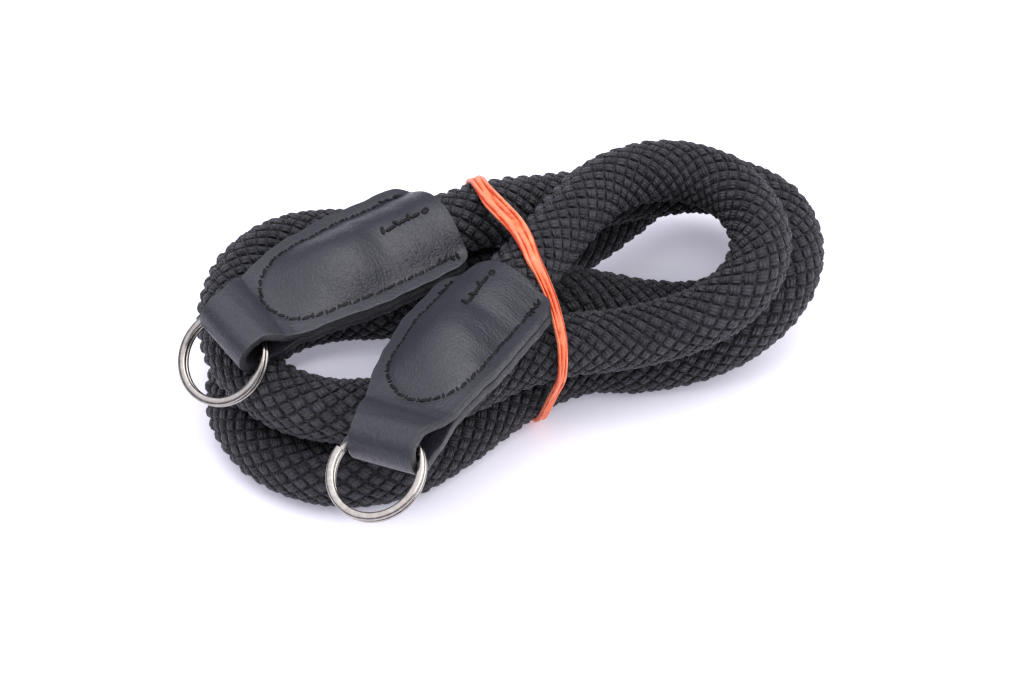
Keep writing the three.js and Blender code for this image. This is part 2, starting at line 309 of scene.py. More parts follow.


# Braided polyester yarn: dull and nearly black, with pale fuzz at grazing angles and painted black shade
# in the gaps between the strands.
def braidedPolyester():
    material, shader = startMaterial("braided polyester", {
        "Roughness": 0.52, "Specular IOR Level": 0.42, "IOR": 1.5,
        "Sheen Weight": 0.12, "Sheen Roughness": 0.4, "Sheen Tint": linearColour(rope["fuzzColour"]),
    })
    # one whole step of the UV map is one crossing, where the two ways of the braid take turns on top
    uv = addNode(material, "UVMap", {"uv_map": "weave"})
    split = addNode(material, "SeparateXYZ", inputs={0: uv.outputs[0]})
    a, b = split.outputs[0], split.outputs[1]
    cellA = addNode(material, "Math", {"operation": "FLOOR"}, {0: a}).outputs[0]
    cellB = addNode(material, "Math", {"operation": "FLOOR"}, {0: b}).outputs[0]
    inA = addNode(material, "Math", {"operation": "FRACT"}, {0: a}).outputs[0]
    inB = addNode(material, "Math", {"operation": "FRACT"}, {0: b}).outputs[0]
    both = addNode(material, "Math", {"operation": "ADD"}, {0: cellA, 1: cellB}).outputs[0]
    way = addNode(material, "Math", {"operation": "FLOORED_MODULO"}, {0: both, 1: 2.0}).outputs[0]
    along = addNode(material, "Mix", inputs={0: way, 2: inA, 3: inB}).outputs[0]
    across = addNode(material, "Mix", inputs={0: way, 2: inB, 3: inA}).outputs[0]
    longA = addNode(material, "Mix", inputs={0: way, 2: a, 3: b}).outputs[0]
    wideB = addNode(material, "Mix", inputs={0: way, 2: b, 3: a}).outputs[0]

    centred = []
    for place in (along, across):
        ends = addNode(material, "Math", {"operation": "MULTIPLY_ADD"},
                       {0: place, 1: 2.0, 2: -1.0}).outputs[0]
        centred.append(addNode(material, "Math", {"operation": "ABSOLUTE"}, {0: ends}).outputs[0])
    toEnd, toSide = centred
    square = addNode(material, "Math", {"operation": "MULTIPLY"}, {0: toEnd, 1: toEnd}).outputs[0]
    wide = addNode(material, "Math", {"operation": "MULTIPLY_ADD"},
                   {0: square, 1: -rope["endNarrowing"], 2: 1.0}).outputs[0]
    share = addNode(material, "Math", {"operation": "DIVIDE"}, {0: toSide, 1: wide}).outputs[0]
    angle = addNode(material, "Math", {"operation": "MULTIPLY"},
                    {0: share, 1: rope["ribs"] * math.pi / 2}).outputs[0]
    wave = addNode(material, "Math", {"operation": "COSINE"}, {0: angle}).outputs[0]
    size = addNode(material, "Math", {"operation": "ABSOLUTE"}, {0: wave}).outputs[0]
    ribs = addNode(material, "Math", {"operation": "POWER"},
                   {0: size, 1: rope["ribSquareness"]}).outputs[0]
    reach = addNode(material, "Math", {"operation": "MULTIPLY_ADD"},
                    {0: ribs, 1: rope["ribEnd"][0], 2: rope["ribEnd"][1]}).outputs[0]
    ended = addNode(material, "Math", {"operation": "DIVIDE"}, {0: toEnd, 1: reach}).outputs[0]
    pillow = []
    for place, steepness in ((share, rope["sideSteepness"]), (ended, rope["endSteepness"])):
        fall = addNode(material, "Math", {"operation": "POWER"}, {0: place, 1: steepness}).outputs[0]
        pillow.append(addNode(material, "Math", {"operation": "SUBTRACT", "use_clamp": True},
                              {0: 1.0, 1: fall}).outputs[0])
    mound = addNode(material, "Math", {"operation": "MULTIPLY"},
                    {0: pillow[0], 1: pillow[1]}).outputs[0]
    ribHeight = addNode(material, "Math", {"operation": "MULTIPLY_ADD"},
                        {0: ribs, 1: rope["ribDepth"], 2: 1 - rope["ribDepth"]}).outputs[0]
    yarn = addNode(material, "Math", {"operation": "MULTIPLY"}, {0: mound, 1: ribHeight}).outputs[0]

    fibrePlace = addNode(material, "CombineXYZ", inputs={0: longA, 1: wideB, 2: way}).outputs[0]
    stretched = addNode(material, "Mapping",
                        inputs={0: fibrePlace, "Scale": rope["fibreScale"]}).outputs[0]
    fibres = addNode(material, "TexNoise",
                     inputs={0: stretched, "Scale": 1.0, "Detail": 3.0}).outputs[0]
    rough = addNode(material, "Math", {"operation": "MULTIPLY_ADD"},
                    {0: fibres, 1: rope["fibreDepth"], 2: yarn}).outputs[0]
    bump = addNode(material, "Bump",
                   inputs={"Strength": 1.0, "Distance": rope["bumpHeight"] * mm, "Height": rough})
    material.node_tree.links.new(bump.outputs[0], shader.inputs["Normal"])

    cell = addNode(material, "CombineXYZ", inputs={0: cellA, 1: cellB}).outputs[0]
    chance = addNode(material, "TexWhiteNoise", {"noise_dimensions": "2D"}, {0: cell}).outputs[0]
    darkest, palest = rope["strandShades"]
    shade = addNode(material, "MapRange", inputs={0: chance, 3: darkest, 4: palest}).outputs[0]
    darkest, palest = rope["fibreShades"]
    fibreShade = addNode(material, "MapRange", inputs={
        0: fibres, 1: noiseRange[0], 2: noiseRange[1], 3: darkest, 4: palest}).outputs[0]
    shades = addNode(material, "Math", {"operation": "MULTIPLY"}, {0: shade, 1: fibreShade}).outputs[0]
    # painted shade: black where the yarn dives low between the strands, full colour on its tops
    depth = addNode(material, "MapRange", {"interpolation_type": "SMOOTHSTEP"},
                    {0: yarn, 1: rope["gapShadeDepths"][0], 2: rope["gapShadeDepths"][1]}).outputs[0]
    lit = addNode(material, "Math", {"operation": "MULTIPLY"}, {0: depth, 1: shades}).outputs[0]
    paintedGapShade, top = linearColour(rope["gapShadeColour"]), linearColour(rope["topColour"])
    colour = addNode(material, "Mix", {"data_type": "RGBA", "clamp_factor": False},
                     {0: lit, 6: paintedGapShade, 7: top}).outputs[2]
    material.node_tree.links.new(colour, shader.inputs["Base Color"])
    return material


ropePiece, ropeRoute, ropeLength = braidedRope()
finishPiece(ropePiece, braidedPolyester())
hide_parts("rope")
print("rope braided, length", round(ropeLength, 3))


# A tab is one strip of leather, folded round a split ring and sewn over a rope end. Sizes are in mm:
# u runs from the mouth of a full-length tab to its fold, v goes to the side.
tab = {
    "thickness": 1.72,
    "edgeRounding": 0.22,
    "length": 55,
    "ropeInside": 29,
    "layerGap": 0.08,
    "archHeight": 6.0,  # of the leather's middle over the rope, above the flat part
    "archHalfWidth": 9.4,
    "archSoftness": 1.6,
    "archEnds": (25, 43),
    "mouthLift": (0.2, 9),  # height, and how far in it fades
    "eyeHalfHeight": 3.9,
    "eyeOpens": (42, 49.1),
    "cornerRadius": 4.2,
    "cornerFades": 30,
    "widths": ((0, 20, 31, 39, 45, 49, 55), (27, 27.5, 25.5, 22.5, 19, 15.5, 15)),
    "gridStep": 0.55,
    "seamStart": 2.6,
    "seamInset": 3.2,
    "seamTurns": 32.5,
    "seamGroove": (0.28, 0.8),  # depth, reach
    "stitchPitch": 2.75,
    "ropeEnd": (24, 5, 0.35),  # a bulge: u, reach, height
    "dent": ((17, 3), (3.5, 5), 0.9),  # u and v, reach along and across, depth
    "creases": ((44.6, 0.06, 0.9, 0.32), (47.3, -0.08, 0.7, 0.14)),  # u, slant, reach, depth
    # to the side: size, rate along u, how often the tab's seed is added, rate along v
    "waver": ((0.12, 0.43, 1, 0), (0.08, 1.1, 2, 0.2)),
    "swingOver": (14, 38),
    "pulledBands": (7.2, 2.4),  # wrinkles beside the arch: v, reach
    "pulledUntil": (22, 36),
    "places": {  # end and before are rope points; mouth, seamBottom and row are values of u
        "a": {"end": (-39, -25, 38), "before": (-30, -18, 38), "droop": 24, "roll": -9,
              "seed": 3, "mouth": 0, "swing": 0, "seamBottom": 43.8, "row": 4.5},
        "b": {"end": (-14.6, -52.5, 39), "before": (-8.1, -41.5, 38.9), "droop": 33, "roll": 9,
              "seed": 8, "mouth": 3.9, "swing": 1.6, "seamBottom": 41.6, "row": 7.8},
    },
    "poreScale": 1900.0,  # pores 0.5 mm apart
    "crinkleScale": 1300.0,
    "unevenScale": 110.0,  # 9 mm
    "mottleScale": 260.0,  # 4 mm
    "pullScale": (1.9, 0.4, 1.0),  # wrinkles 0.5 mm apart and 2.5 mm long
    "bumps": ((0.65, 0.16), (0.6, 0.3), (0.15, 0.5)),  # grain, pulls, unevenness: strength, height
    "wornWithin": (0.5, 0.12),  # of the edge: from where wear shows, and where it is full
    "wornShare": 0.3,
    "cutWithin": (0.12, 0.02),
    "roughness": (0.36, 0.54),
    "darkFace": "#1a1b24",
    "paleFace": "#272830",
    "wornEdge": "#45464e",
    "cutEdge": "#131417",
    "fuzzColour": "#c8cbe0",
}
flatLength = tab["length"] - tab["eyeHalfHeight"]
stripLength = 2 * flatLength + math.pi * tab["eyeHalfHeight"]
layerHeight = (tab["thickness"] + tab["layerGap"]) / 2


def tabWidth(u):
    return np.interp(u, *tab["widths"])


def seamPath(settings, count=80):  # from the mouth down one side, round the bottom and back up the other
    u = np.linspace(settings["mouth"] + tab["seamStart"], tab["seamTurns"], count)
    v = tabWidth(u) / 2 - tab["seamInset"]
    turn = np.linspace(0, math.pi, count)[1:-1]
    bottomU = tab["seamTurns"] + (settings["seamBottom"] - tab["seamTurns"]) * np.sin(turn)
    bottomV = v[-1] * np.cos(turn)
    return np.column_stack([np.concatenate([u, bottomU, u[::-1]]),
                            np.concatenate([v, bottomV, -v[::-1]])])


def layerRise(u, v, place, top):  # of the leather's middle above the plane between the two layers
    lift, liftFades = tab["mouthLift"]
    lift = lift * (1 - smoothStep(u, place["mouthStart"], place["mouthStart"] + liftFades))
    arch = (tab["archHeight"] + lift) * (1 - (v / tab["archHalfWidth"]) ** 2)
    arch = (arch + np.sqrt(arch ** 2 + tab["archSoftness"] ** 2)) / 2
    overRope = arch * (1 - smoothStep(u, *tab["archEnds"]))
    eye = (tab["eyeHalfHeight"] - layerHeight) * smoothStep(u, *tab["eyeOpens"])
    toSeam = np.full(u.shape, np.inf)
    for seamU, seamV in place["seam"][::2]:
        toSeam = np.minimum(toSeam, (u - seamU) ** 2 + (v - seamV) ** 2)
    depth, reach = tab["seamGroove"]
    groove = -depth * np.exp(-toSeam / reach ** 2)
    endU, reach, height = tab["ropeEnd"]
    marks = height * np.exp(-((u - endU) ** 2 + v ** 2) / reach ** 2)
    (dentU, dentV), (along, across), depth = tab["dent"]
    marks = marks - depth * np.exp(-((u - dentU) ** 2 / along ** 2 + (v - dentV) ** 2 / across ** 2))
    for creaseU, slant, reach, depth in tab["creases"]:
        marks = marks - depth * np.exp(-((u - creaseU - slant * v) / reach) ** 2)
    return layerHeight + overRope + eye + groove + marks * top


def tabPlace(settings):
    end, before = np.array(settings["end"], float), np.array(settings["before"], float)
    axis = unit(end - before)
    level = unit(np.cross((0, 0, 1), axis))
    roll = math.radians(settings["roll"])
    side = level * math.cos(roll) + np.cross(axis, level) * math.sin(roll)
    return {
        "mouth": end - axis * tab["ropeInside"],
        "axis": axis, "side": side, "over": np.cross(axis, side),
        "droop": math.radians(settings["droop"]), "seed": settings["seed"], "seam": seamPath(settings),
        "mouthStart": settings["mouth"], "swing": settings["swing"], "row": settings["row"],
    }


# run goes along the whole strip: from the mouth of the top layer, through the fold, to the bottom one's
def leatherMiddle(place, run, v):
    turned = np.clip((run - flatLength) / tab["eyeHalfHeight"], 0, math.pi)
    inFold = (run > flatLength) & (run < stripLength - flatLength)
    top = run <= flatLength
    folded = flatLength + tab["eyeHalfHeight"] * np.sin(turned)
    u = np.where(top, run, np.where(inFold, folded, stripLength - run))
    radius = tab["cornerRadius"]
    corner = np.clip(np.abs(v) - tabWidth(u) / 2 + radius, 0, radius)
    fade = np.clip(1 - (u - place["mouthStart"]) / tab["cornerFades"], 0, 1)
    u = u + (radius - np.sqrt(radius ** 2 - corner ** 2)) * fade
    rise = np.where(top, 1, -1) * layerRise(u, v, place, top)
    rise = np.where(inFold, tab["eyeHalfHeight"] * np.cos(turned), rise)
    aside = v + place["swing"] * smoothStep(u, *tab["swingOver"])
    for size, rateU, seeds, rateV in tab["waver"]:
        aside = aside + size * np.sin(u * rateU + seeds * place["seed"] + v * rateV)
    # past the rope's end the tab droops along an arc
    drooping = tab["length"] - tab["ropeInside"]
    angle = place["droop"] * np.maximum(0, u - tab["ropeInside"]) / drooping
    radius = drooping / place["droop"]
    forward = np.minimum(u, tab["ropeInside"]) + radius * np.sin(angle)
    drop = radius * (1 - np.cos(angle))
    over = place["over"] * np.cos(angle)[..., None] + place["axis"] * np.sin(angle)[..., None]
    point = place["mouth"] + place["axis"] * forward[..., None] - place["over"] * drop[..., None]
    return point + place["side"] * aside[..., None] + over * rise[..., None]


def leatherTab(key, place):
    rows = round(stripLength / tab["gridStep"])
    columns = round(tabWidth(0) / tab["gridStep"])
    bpy.ops.mesh.primitive_grid_add(x_subdivisions=rows, y_subdivisions=columns, size=2)
    piece = newestPiece("end_tab_" + key + "_leather")
    points = getPoints(piece)
    run = place["mouthStart"] + (points[:, 0] + 1) / 2 * (stripLength - 2 * place["mouthStart"])
    fromMouth = np.minimum(run, stripLength - run)
    width = np.where(fromMouth < flatLength, tabWidth(fromMouth), tabWidth(tab["length"]))
    v = points[:, 1] * width / 2
    setPoints(piece, (leatherMiddle(place, run, v) + layoutShift) * mm)
    # the material finds the edges and the pulled wrinkles by these two
    edge = piece.data.attributes.new("fromEdge", "FLOAT", "POINT")
    toEdge = np.minimum(width / 2 - np.abs(v), fromMouth - place["mouthStart"])
    edge.data.foreach_set("value", toEdge.astype(np.float32))
    strip = piece.data.attributes.new("onStrip", "FLOAT_VECTOR", "POINT")
    bandV, reach = tab["pulledBands"]
    pulled = np.exp(-((np.abs(v) - bandV) / reach) ** 2)
    pulled = pulled * (1 - smoothStep(fromMouth, *tab["pulledUntil"]))
    strip.data.foreach_set("vector", np.column_stack([run, v, pulled]).astype(np.float32).ravel())
    wall = piece.modifiers.new("wall", "SOLIDIFY")
    wall.thickness, wall.offset = tab["thickness"] * mm, 0
    rounding = piece.modifiers.new("rounding", "BEVEL")
    rounding.width, rounding.segments = tab["edgeRounding"] * mm, 2
    rounding.limit_method, rounding.angle_limit = "ANGLE", math.radians(50)
    applyModifiers(piece)
    return piece


# Split leather, dyed black and plated smooth: a satin face with fine pores and pulled wrinkles,
# paler where its edges are worn and dull black where they were cut.
def platedLeather():
    material, shader = startMaterial("plated black leather", {
        "Specular IOR Level": 0.56, "IOR": 1.5,
        "Sheen Weight": 0.04, "Sheen Roughness": 0.5, "Sheen Tint": linearColour(tab["fuzzColour"]),
    })
    place = addNode(material, "TexCoord").outputs["Object"]
    pores = addNode(material, "TexVoronoi", inputs={0: place, "Scale": tab["poreScale"]}).outputs[0]
    crinkle = addNode(material, "TexNoise", inputs={
        0: place, "Scale": tab["crinkleScale"], "Detail": 4.0, "Distortion": 0.8}).outputs[0]
    uneven = addNode(material, "TexNoise",
                     inputs={0: place, "Scale": tab["unevenScale"], "Detail": 3.0}).outputs[0]
    mottle = addNode(material, "TexNoise",
                     inputs={0: place, "Scale": tab["mottleScale"], "Detail": 5.0}).outputs[0]
    strip = addNode(material, "Attribute", {"attribute_name": "onStrip"}).outputs["Vector"]
    parts = addNode(material, "SeparateXYZ", inputs={0: strip}).outputs
    level = addNode(material, "CombineXYZ", inputs={0: parts[0], 1: parts[1]}).outputs[0]
    drawnOut = addNode(material, "Mapping", inputs={0: level, "Scale": tab["pullScale"]}).outputs[0]
    pulls = addNode(material, "TexNoise",
                    inputs={0: drawnOut, "Scale": 1.0, "Detail": 2.0, "Distortion": 0.5}).outputs[0]
    pulled = addNode(material, "Math", {"operation": "MULTIPLY"}, {0: pulls, 1: parts[2]}).outputs[0]
    grain = addNode(material, "Math", {"operation": "MULTIPLY_ADD"},
                    {0: pores, 1: 0.5, 2: crinkle}).outputs[0]
    normal = None
    for height, (strength, distance) in zip((grain, pulled, uneven), tab["bumps"]):
        inputs = {"Strength": strength, "Distance": distance * mm, "Height": height}
        if normal is not None:
            inputs["Normal"] = normal
        normal = addNode(material, "Bump", inputs=inputs).outputs[0]
    material.node_tree.links.new(normal, shader.inputs["Normal"])
    dark, pale = linearColour(tab["darkFace"]), linearColour(tab["paleFace"])
    face = addNode(material, "Mix", {"data_type": "RGBA"}, {0: mottle, 6: dark, 7: pale}).outputs[2]
    edge = addNode(material, "Attribute", {"attribute_name": "fromEdge"}).outputs["Fac"]
    start, full = tab["wornWithin"]
    nearEdge = addNode(material, "MapRange",
                       inputs={0: edge, 1: start, 2: full, 3: 0.0, 4: tab["wornShare"]}).outputs[0]
    worn = addNode(material, "Mix", {"data_type": "RGBA"},
                   {0: nearEdge, 6: face, 7: linearColour(tab["wornEdge"])}).outputs[2]
    start, full = tab["cutWithin"]
    cut = addNode(material, "MapRange", inputs={0: edge, 1: start, 2: full, 3: 0.0, 4: 1.0}).outputs[0]
    colour = addNode(material, "Mix", {"data_type": "RGBA"},
                     {0: cut, 6: worn, 7: linearColour(tab["cutEdge"])}).outputs[2]
    material.node_tree.links.new(colour, shader.inputs["Base Color"])
    glossy, dull = tab["roughness"]
    rough = addNode(material, "MapRange", inputs={
        0: crinkle, 1: noiseRange[0], 2: noiseRange[1], 3: glossy, 4: dull}).outputs[0]
    material.node_tree.links.new(rough, shader.inputs["Roughness"])
    return material


# The seam shows on both faces of a tab. Its stitches are copies of one rounded bar. Sizes are in mm.
stitch = {
    "thread": 0.42,  # radius
    "segments": 8,
    "rings": 6,
    "squareness": 0.7,
    "lengthShares": (0.66, 0.84),  # of the pitch
    "slants": (10, 22),  # degrees
    "hook": (60, 1.5, 0.32),  # the thread that dives between two stitches: degrees, length, radius
    "crossed": {"count": 4, "start": 2.4, "step": 1.5, "length": 2.1, "radius": 0.336, "lift": 0.2},
    "crossedAside": (-0.6, 0.8),
    "crossedTurns": (50, 130),
    "pressed": 0.75,  # height against width
    "row": (  # holds the rope on the middle line: u from its start, v, degrees, length, radius, lift
        (2.6, 0.7, 4, 2.6, 0.44, 0.06), (5.6, 0.7, 4, 2.4, 0.44, 0.06),
        (8.8, 0.7, 4, 2.9, 0.44, 0.06), (4.2, 0.4, 65, 2.0, 0.44, 0.06),
        (7.2, 0.4, -60, 2.0, 0.44, 0.06), (10.6, 0.4, 70, 2.0, 0.44, 0.06),
        (0, 0.9, 20, 2.2, 0.85, -0.25),  # its knot
    ),
    "twistScale": 3000.0,  # 0.3 mm, the lay of the thread
    "twistBump": (0.5, 0.1),  # strength, height
    # painted shade in the low parts of the thread's twist
    "paintedShadeColour": "#050507",
    "colour": "#0d0d10",
}


def stitchShape():  # one stitch, 2 long and 2 thick, to be scaled and copied
    bpy.ops.object.select_all(action="DESELECT")
    bpy.ops.mesh.primitive_uv_sphere_add(segments=stitch["segments"], ring_count=stitch["rings"],
                                         radius=1)
    piece = newestPiece("one_stitch")
    points = getPoints(piece)[:, [2, 0, 1]]
    points[:, 0] = np.sign(points[:, 0]) * np.abs(points[:, 0]) ** stitch["squareness"]
    faces = [list(polygon.vertices) for polygon in piece.data.polygons]
    bpy.data.objects.remove(piece)
    return points, faces


# Each entry is layer (1 on top, -1 below), u, v, heading in degrees, length, radius and lift.
def stitchesOn(name, place, entries, shape, small=0.1):
    shapePoints, shapeFaces = shape
    points, faces = [], []
    for layer, u, v, heading, length, radius, lift in entries:
        run = np.array([u if layer > 0 else stripLength - u])
        v = np.array([v])
        here = leatherMiddle(place, run, v)[0]
        along = leatherMiddle(place, run + small, v)[0] - leatherMiddle(place, run - small, v)[0]
        across = leatherMiddle(place, run, v + small)[0] - leatherMiddle(place, run, v - small)[0]
        normal = unit(np.cross(along, across))
        across = unit(across)
        along = np.cross(across, normal) * layer
        turn = math.radians(heading)
        forward = along * math.cos(turn) + across * math.sin(turn)
        sideways = np.cross(normal, forward)
        centre = here + normal * (tab["thickness"] / 2 + lift)
        scale = np.array([length / 2, radius, radius * stitch["pressed"]])
        base = np.stack([forward, sideways, normal])
        faces += [[i + len(points) * len(shapePoints) for i in face] for face in shapeFaces]
        points.append(centre + (shapePoints * scale) @ base)
    return meshPiece(name, ((np.vstack(points) + layoutShift) * mm).tolist(), faces)


def tabStitches(key, place, shape):
    chance = np.random.default_rng(place["seed"])
    seam = place["seam"]
    reached = np.concatenate([[0], np.cumsum(np.linalg.norm(np.diff(seam, axis=0), axis=1))])
    count = round(reached[-1] / tab["stitchPitch"])
    pitch = reached[-1] / count
    crossed = stitch["crossed"]

    def onSeam(distance):
        return [np.interp(distance, reached, seam[:, i]) for i in (0, 1)]

    entries = []
    for layer in (1, -1):
        for i in range(count):
            middle = (i + 0.5) * pitch
            u, v = onSeam(middle)
            aheadU, aheadV = onSeam(middle + 0.3)
            heading = math.degrees(math.atan2(aheadV - v, aheadU - u))
            slant = chance.uniform(*stitch["slants"])
            length = pitch * chance.uniform(*stitch["lengthShares"])
            entries.append((layer, u, v, heading + slant, length, stitch["thread"], 0.02))
            turn, length, radius = stitch["hook"]
            u, v = onSeam(middle + pitch / 2)
            entries.append((layer, u, v, heading + turn + slant, length, radius, 0.0))
        for i in range(crossed["count"]):  # the seam ends in a few stitches sewn over each other
            for side in (1, -1):
                u = place["mouthStart"] + crossed["start"] + crossed["step"] * i
                v = side * (tabWidth(u) / 2 - tab["seamInset"] + chance.uniform(*stitch["crossedAside"]))
                entries.append((layer, u, v, chance.uniform(*stitch["crossedTurns"]),
                                crossed["length"], crossed["radius"], crossed["lift"]))
    for u, *rest in stitch["row"]:
        entries.append((1, place["row"] + u, *rest))
    return stitchesOn("end_tab_" + key + "_stitches", place, entries, shape)


# Waxed polyester sewing thread: black, with a soft gloss on its rounded top.
def waxedThread():
    material, shader = startMaterial("waxed black thread", {
        "Roughness": 0.55, "Specular IOR Level": 0.25,
    })
    place = addNode(material, "TexCoord").outputs["Object"]
    twist = addNode(material, "TexNoise",
                    inputs={0: place, "Scale": stitch["twistScale"], "Detail": 2.0}).outputs[0]
    strength, distance = stitch["twistBump"]
    bump = addNode(material, "Bump",
                   inputs={"Strength": strength, "Distance": distance * mm, "Height": twist})
    material.node_tree.links.new(bump.outputs[0], shader.inputs["Normal"])
    # painted shade: darker where the thread's twist lies low, by the same noise as its bump
    twistShade, pale = linearColour(stitch["paintedShadeColour"]), linearColour(stitch["colour"])
    colour = addNode(material, "Mix", {"data_type": "RGBA"}, {0: twist, 6: twistShade, 7: pale}).outputs[2]
    material.node_tree.links.new(colour, shader.inputs["Base Color"])
    return material


leather, thread = platedLeather(), waxedThread()
oneStitch = stitchShape()
for key, settings in tab["places"].items():
    place = tabPlace(settings)
    leatherPiece = leatherTab(key, place)
    finishPiece(leatherPiece, leather)
    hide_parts("end_tab_" + key)
    finishPiece(tabStitches(key, place, oneStitch), thread)
    print("tab", key, "sewn")


# A split ring is nearly two turns of one flat wire. Sizes are in mm.
ring = {
    "outerRadius": 10.3,
    "wireWidth": 1.75,
    "wireThickness": 1.0,
    "wireSquareness": 0.8,
    "turnSpacing": 1.24,
    "sectionPoints": 16,
    "steps": 276,
    "turned": 690,  # degrees of wire
    "stepUp": (330, 360),  # where it climbs from the first turn to the second
    "places": {
        "a": {"centre": (-59.82, -40.1, 29.15), "face": (-0.378, -0.566, 0.732),
              "start": (0.19, 0.83, 0.53)},
        "b": {"centre": (-26.43, -77.4, 31.74), "face": (-0.292, -0.423, 0.858),
              "start": (-0.37, 0.88, 0.3)},
    },
    "wearScale": 900.0,  # spots of 1 mm
    "roughness": (0.14, 0.26),
    "darkColour": "#7c756f",
    "brightColour": "#bab5af",
}


def splitRing(key, settings):
    count = ring["sectionPoints"]
    bpy.ops.object.select_all(action="DESELECT")
    bpy.ops.mesh.primitive_circle_add(vertices=count, radius=1, fill_type="NGON")
    piece = newestPiece("split_ring_" + key + "_wire")
    points = getPoints(piece)
    section = np.sign(points) * np.abs(points) ** ring["wireSquareness"] / 2
    across = ring["outerRadius"] - ring["wireWidth"] / 2 + section[:, 0] * ring["wireWidth"]
    setPoints(piece, np.column_stack([across, np.zeros(count), section[:, 1] * ring["wireThickness"]]))
    bpy.ops.object.mode_set(mode="EDIT")
    bpy.ops.mesh.select_all(action="SELECT")
    bpy.ops.mesh.spin(steps=ring["steps"], angle=math.radians(ring["turned"]),
                      center=(0, 0, 0), axis=(0, 0, 1))
    bpy.ops.object.mode_set(mode="OBJECT")
    points = getPoints(piece)
    turned = np.arange(len(points)) // count * (ring["turned"] / ring["steps"])
    points[:, 2] += (smoothStep(turned, *ring["stepUp"]) - 0.5) * ring["turnSpacing"]
    face = unit(settings["face"])
    sideways = unit(np.cross(face, settings["start"]))
    toStart = np.cross(sideways, face)
    place = points @ np.stack([toStart, sideways, face]) + np.array(settings["centre"])
    setPoints(piece, (place + layoutShift) * mm)
    pointFacesOutwards()
    return piece


# Nickel-plated spring steel: a bright plating, greyed and softened in small spots by handling.
def nickelPlate():
    material, shader = startMaterial("nickel-plated steel", {"Metallic": 1.0})
    place = addNode(material, "TexCoord").outputs["Object"]
    wear = addNode(material, "TexNoise",
                   inputs={0: place, "Scale": ring["wearScale"], "Detail": 3.0}).outputs[0]
    dark, bright = linearColour(ring["darkColour"]), linearColour(ring["brightColour"])
    colour = addNode(material, "Mix", {"data_type": "RGBA"}, {0: wear, 6: dark, 7: bright}).outputs[2]
    material.node_tree.links.new(colour, shader.inputs["Base Color"])
    glossy, dull = ring["roughness"]
    rough = addNode(material, "MapRange", inputs={
        0: wear, 1: noiseRange[0], 2: noiseRange[1], 3: glossy, 4: dull}).outputs[0]
    material.node_tree.links.new(rough, shader.inputs["Roughness"])
    return material


nickel = nickelPlate()
for key, settings in ring["places"].items():
    ringPiece = splitRing(key, settings)
    finishPiece(ringPiece, nickel)
    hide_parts("split_ring_" + key)
print("rings wound")


# The band follows the outer face of its CAD solid and wanders along the rope. Sizes are in mm.
band = {
    "width": 3.7,
    "thickness": 1.0,
    "along": (0.42, -0.9075, 0),  # the loop stands upright in this direction
    "segments": 280,
    "sectionPoints": 32,
    "squareness": 0.6,
    "smoothings": (3, 6),  # passes over the loop and over the course
    "ridges": 3,
    "ridgeHeight": 0.28,
    "ridgeWander": 2.4,
    # degrees round the loop, 0 at the front and 90 on top; mm to the left; share of the width
    "course": (
        (-180, 0, 1), (-90, 2, 0.85), (-60, 3.6, 0.7), (-40, 3.8, 0.6), (-20, 3.2, 0.58),
        (0, 2.2, 0.6), (10, 1.4, 0.64), (20, 1.6, 0.64), (30, 2, 0.66), (40, 3.1, 0.72),
        (50, 4.2, 0.88), (65, 3.7, 1.1), (80, 3.6, 1.25), (100, 3.4, 1.25), (120, 2.6, 0.98),
        (140, 1.2, 0.95), (160, 0.3, 1), (180, 0, 1),
    ),
    "slit": {"angle": 70, "reach": 8, "across": -0.15, "width": 0.1, "depth": 0.7},
    "streakScale": 350.0,  # 3 mm
    "streakBump": (0.4, 0.2),  # strength, height
    "streakShare": (1.1, -0.7),  # of a streak in how pale a place is, and the shift that goes with it
    # painted shade in the folds and the slit; painted highlight on the ridge tops, with random pale
    # streaks
    "shadeBelow": 0.3,
    "paintedShadeColour": "#b83412",
    "colour": "#ff7440",
    "streakAndHighlightColour": "#ffa07a",
}


def smoothLoop(values, passes, own=1):  # own is the weight of a value against each neighbour's
    for _ in range(passes):
        values = (np.roll(values, 1, 0) + own * values + np.roll(values, -1, 0)) / (own + 2)
    return values


